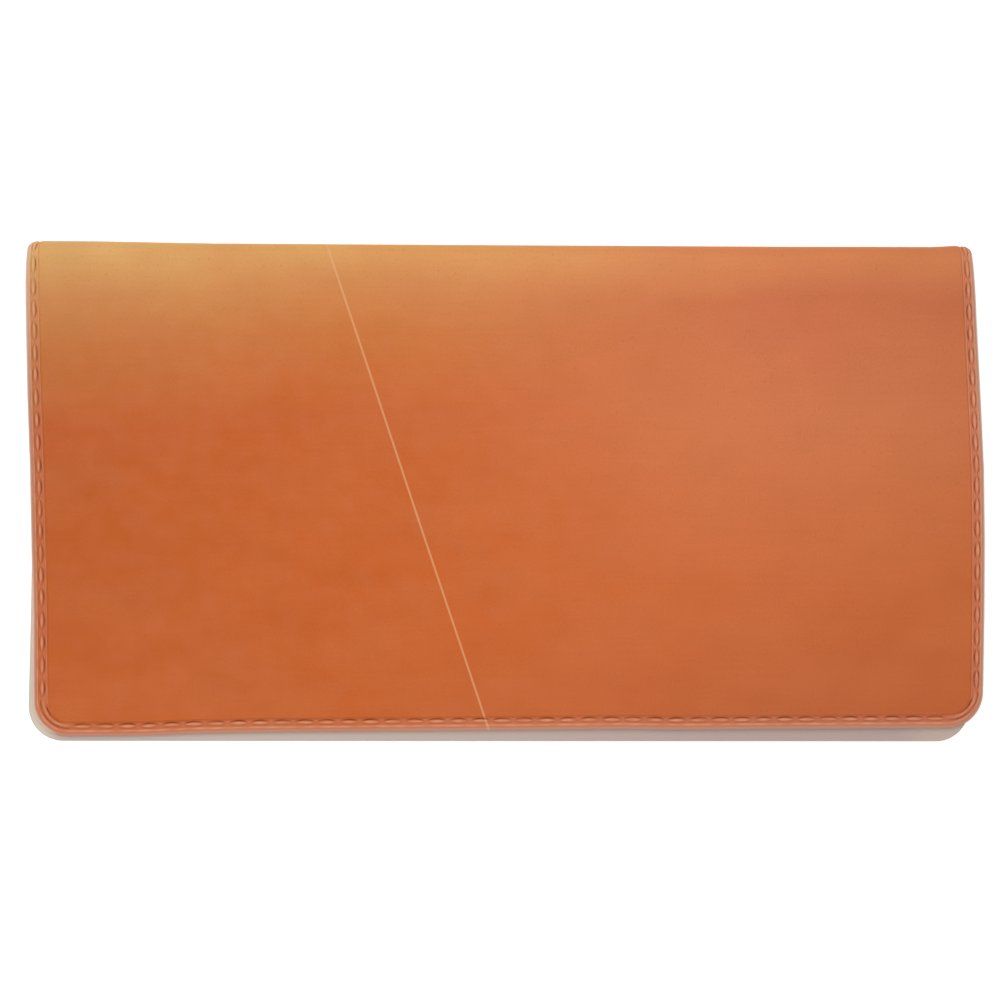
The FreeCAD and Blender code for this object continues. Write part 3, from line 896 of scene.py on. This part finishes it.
# %% Ties to the frame
for group in (skins, linings):
    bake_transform(group["front"])
    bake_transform(group["back"])
for half in HALVES:
    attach(pockets[half], half)
    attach(rims[half], half)
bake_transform(film)

for half in HALVES:
    printed_nodes = ["cover", "bend", "outer_bead", "inner_bead", "stitches"]
    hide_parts(*[f"{half}_{node}" for node in printed_nodes])
    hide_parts(f"{half}_lining", f"{half}_bend_lining")
    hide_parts(f"{half}_pocket")
    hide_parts(f"{half}_edge_weld")
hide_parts("spine")
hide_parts("spine_lining")
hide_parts("divider", "divider_flange")

# %% [markdown]
# ## Floor, light and camera
# The cover lies on a white sweep under a large soft light, in an even surrounding light.
# The floor is a pale grey that the camera sees lifted to white, and its shadow stays.

# %% Floor and light
bpy.ops.object.select_all(action="DESELECT")
bpy.ops.mesh.primitive_plane_add(size=6.0, location=(0, 0, -0.00005))
floor = bpy.context.object
floor.name = "floor"


def seen_directly(tree):
    """1 for what the camera, a mirror or glass sees, and 0 for light that falls on things."""
    path = add_node(tree, "LightPath", out=None)
    seen = path.outputs["Is Camera Ray"]
    for ray in ("Is Glossy Ray", "Is Transmission Ray"):
        seen = add_node(tree, "Math", MAXIMUM, in_0=seen, in_1=path.outputs[ray])
    return seen


def white_floor():
    """Uncoated paper, quite matt, with the lift to white that only the eye sees."""
    material = bpy.data.materials.new("white_paper_sweep")
    tree = empty_tree(material)
    paper = add_node(tree, "BsdfDiffuse", Color=colour("#EDEDED"))
    lift = add_node(tree, "Math", MULTIPLY, in_0=seen_directly(tree), in_1=0.5)
    glow = add_node(tree, "Emission", Strength=lift)
    both = add_node(tree, "AddShader", in_0=paper, in_1=glow)
    add_node(tree, "OutputMaterial", out=None, Surface=both)
    return material


floor.data.materials.append(white_floor())
world = bpy.data.worlds.new("soft_room")
bpy.context.scene.world = world
tree = empty_tree(world)
direction = add_node(tree, "TexCoord", out="Generated")
height = add_node(tree, "SeparateXYZ", out=2, Vector=direction)
tent = add_node(tree, "MapRange", Value=height, From_Min=0.0, From_Max=0.8, To_Min=1.1,
                To_Max=0.27)
room = add_node(tree, "Background", Color=colour("#FFFFFF"), Strength=tent)
backdrop = add_node(tree, "Background", Color=colour("#FFFFFF"), Strength=1.0)
choice = add_node(tree, "MixShader", in_0=seen_directly(tree), in_1=room, in_2=backdrop)
add_node(tree, "OutputWorld", out=None, Surface=choice)


def soft_light(name, place, size, power):
    """A square lamp that faces the middle of the cover."""
    lamp = bpy.data.lights.new(name, "AREA")
    lamp.size = size
    lamp.energy = power
    holder = bpy.data.objects.new(name, lamp)
    bpy.context.scene.collection.objects.link(holder)
    holder.location = place
    holder.rotation_euler = (-Vector(place)).to_track_quat("-Z", "Y").to_euler()


soft_light("overhead_softbox", place=(-0.15, 0.1, 0.88), size=0.6, power=4.6)

# %% [markdown]
# The camera hangs half a metre over the cover, a little to the left of its middle, so that
# its left end looks larger than its right end. Its place was worked out from the outline.

# %% Camera
DISTANCE = 0.5
FOCAL_PIXELS, IMAGE_PIXELS, SENSOR = 2878, 1000, 36
SHIFT = -0.0032, -0.0064
YAW, PITCH, ROLL = (math.radians(a) for a in (3.44, 0.15, -0.06))
turn = Matrix.Rotation(ROLL, 3, "Z") @ Matrix.Rotation(PITCH, 3, "X")
turn = turn @ Matrix.Rotation(YAW, 3, "Y")
camera_data = bpy.data.cameras.new("camera")
camera_data.sensor_width = SENSOR
camera_data.lens = SENSOR * FOCAL_PIXELS / IMAGE_PIXELS
camera_data.shift_x, camera_data.shift_y = SHIFT
camera = bpy.data.objects.new("camera", camera_data)
bpy.context.scene.collection.objects.link(camera)
aim = Vector((SIDE_SHIFT * MM, 0, 0.002))
place = aim + turn.transposed() @ Vector((0, 0, DISTANCE))
camera.matrix_world = Matrix.Translation(place) @ turn.transposed().to_4x4()
bpy.context.scene.camera = camera
bpy.context.scene.view_settings.view_transform = "Standard"
print("camera at", [round(v, 4) for v in place])
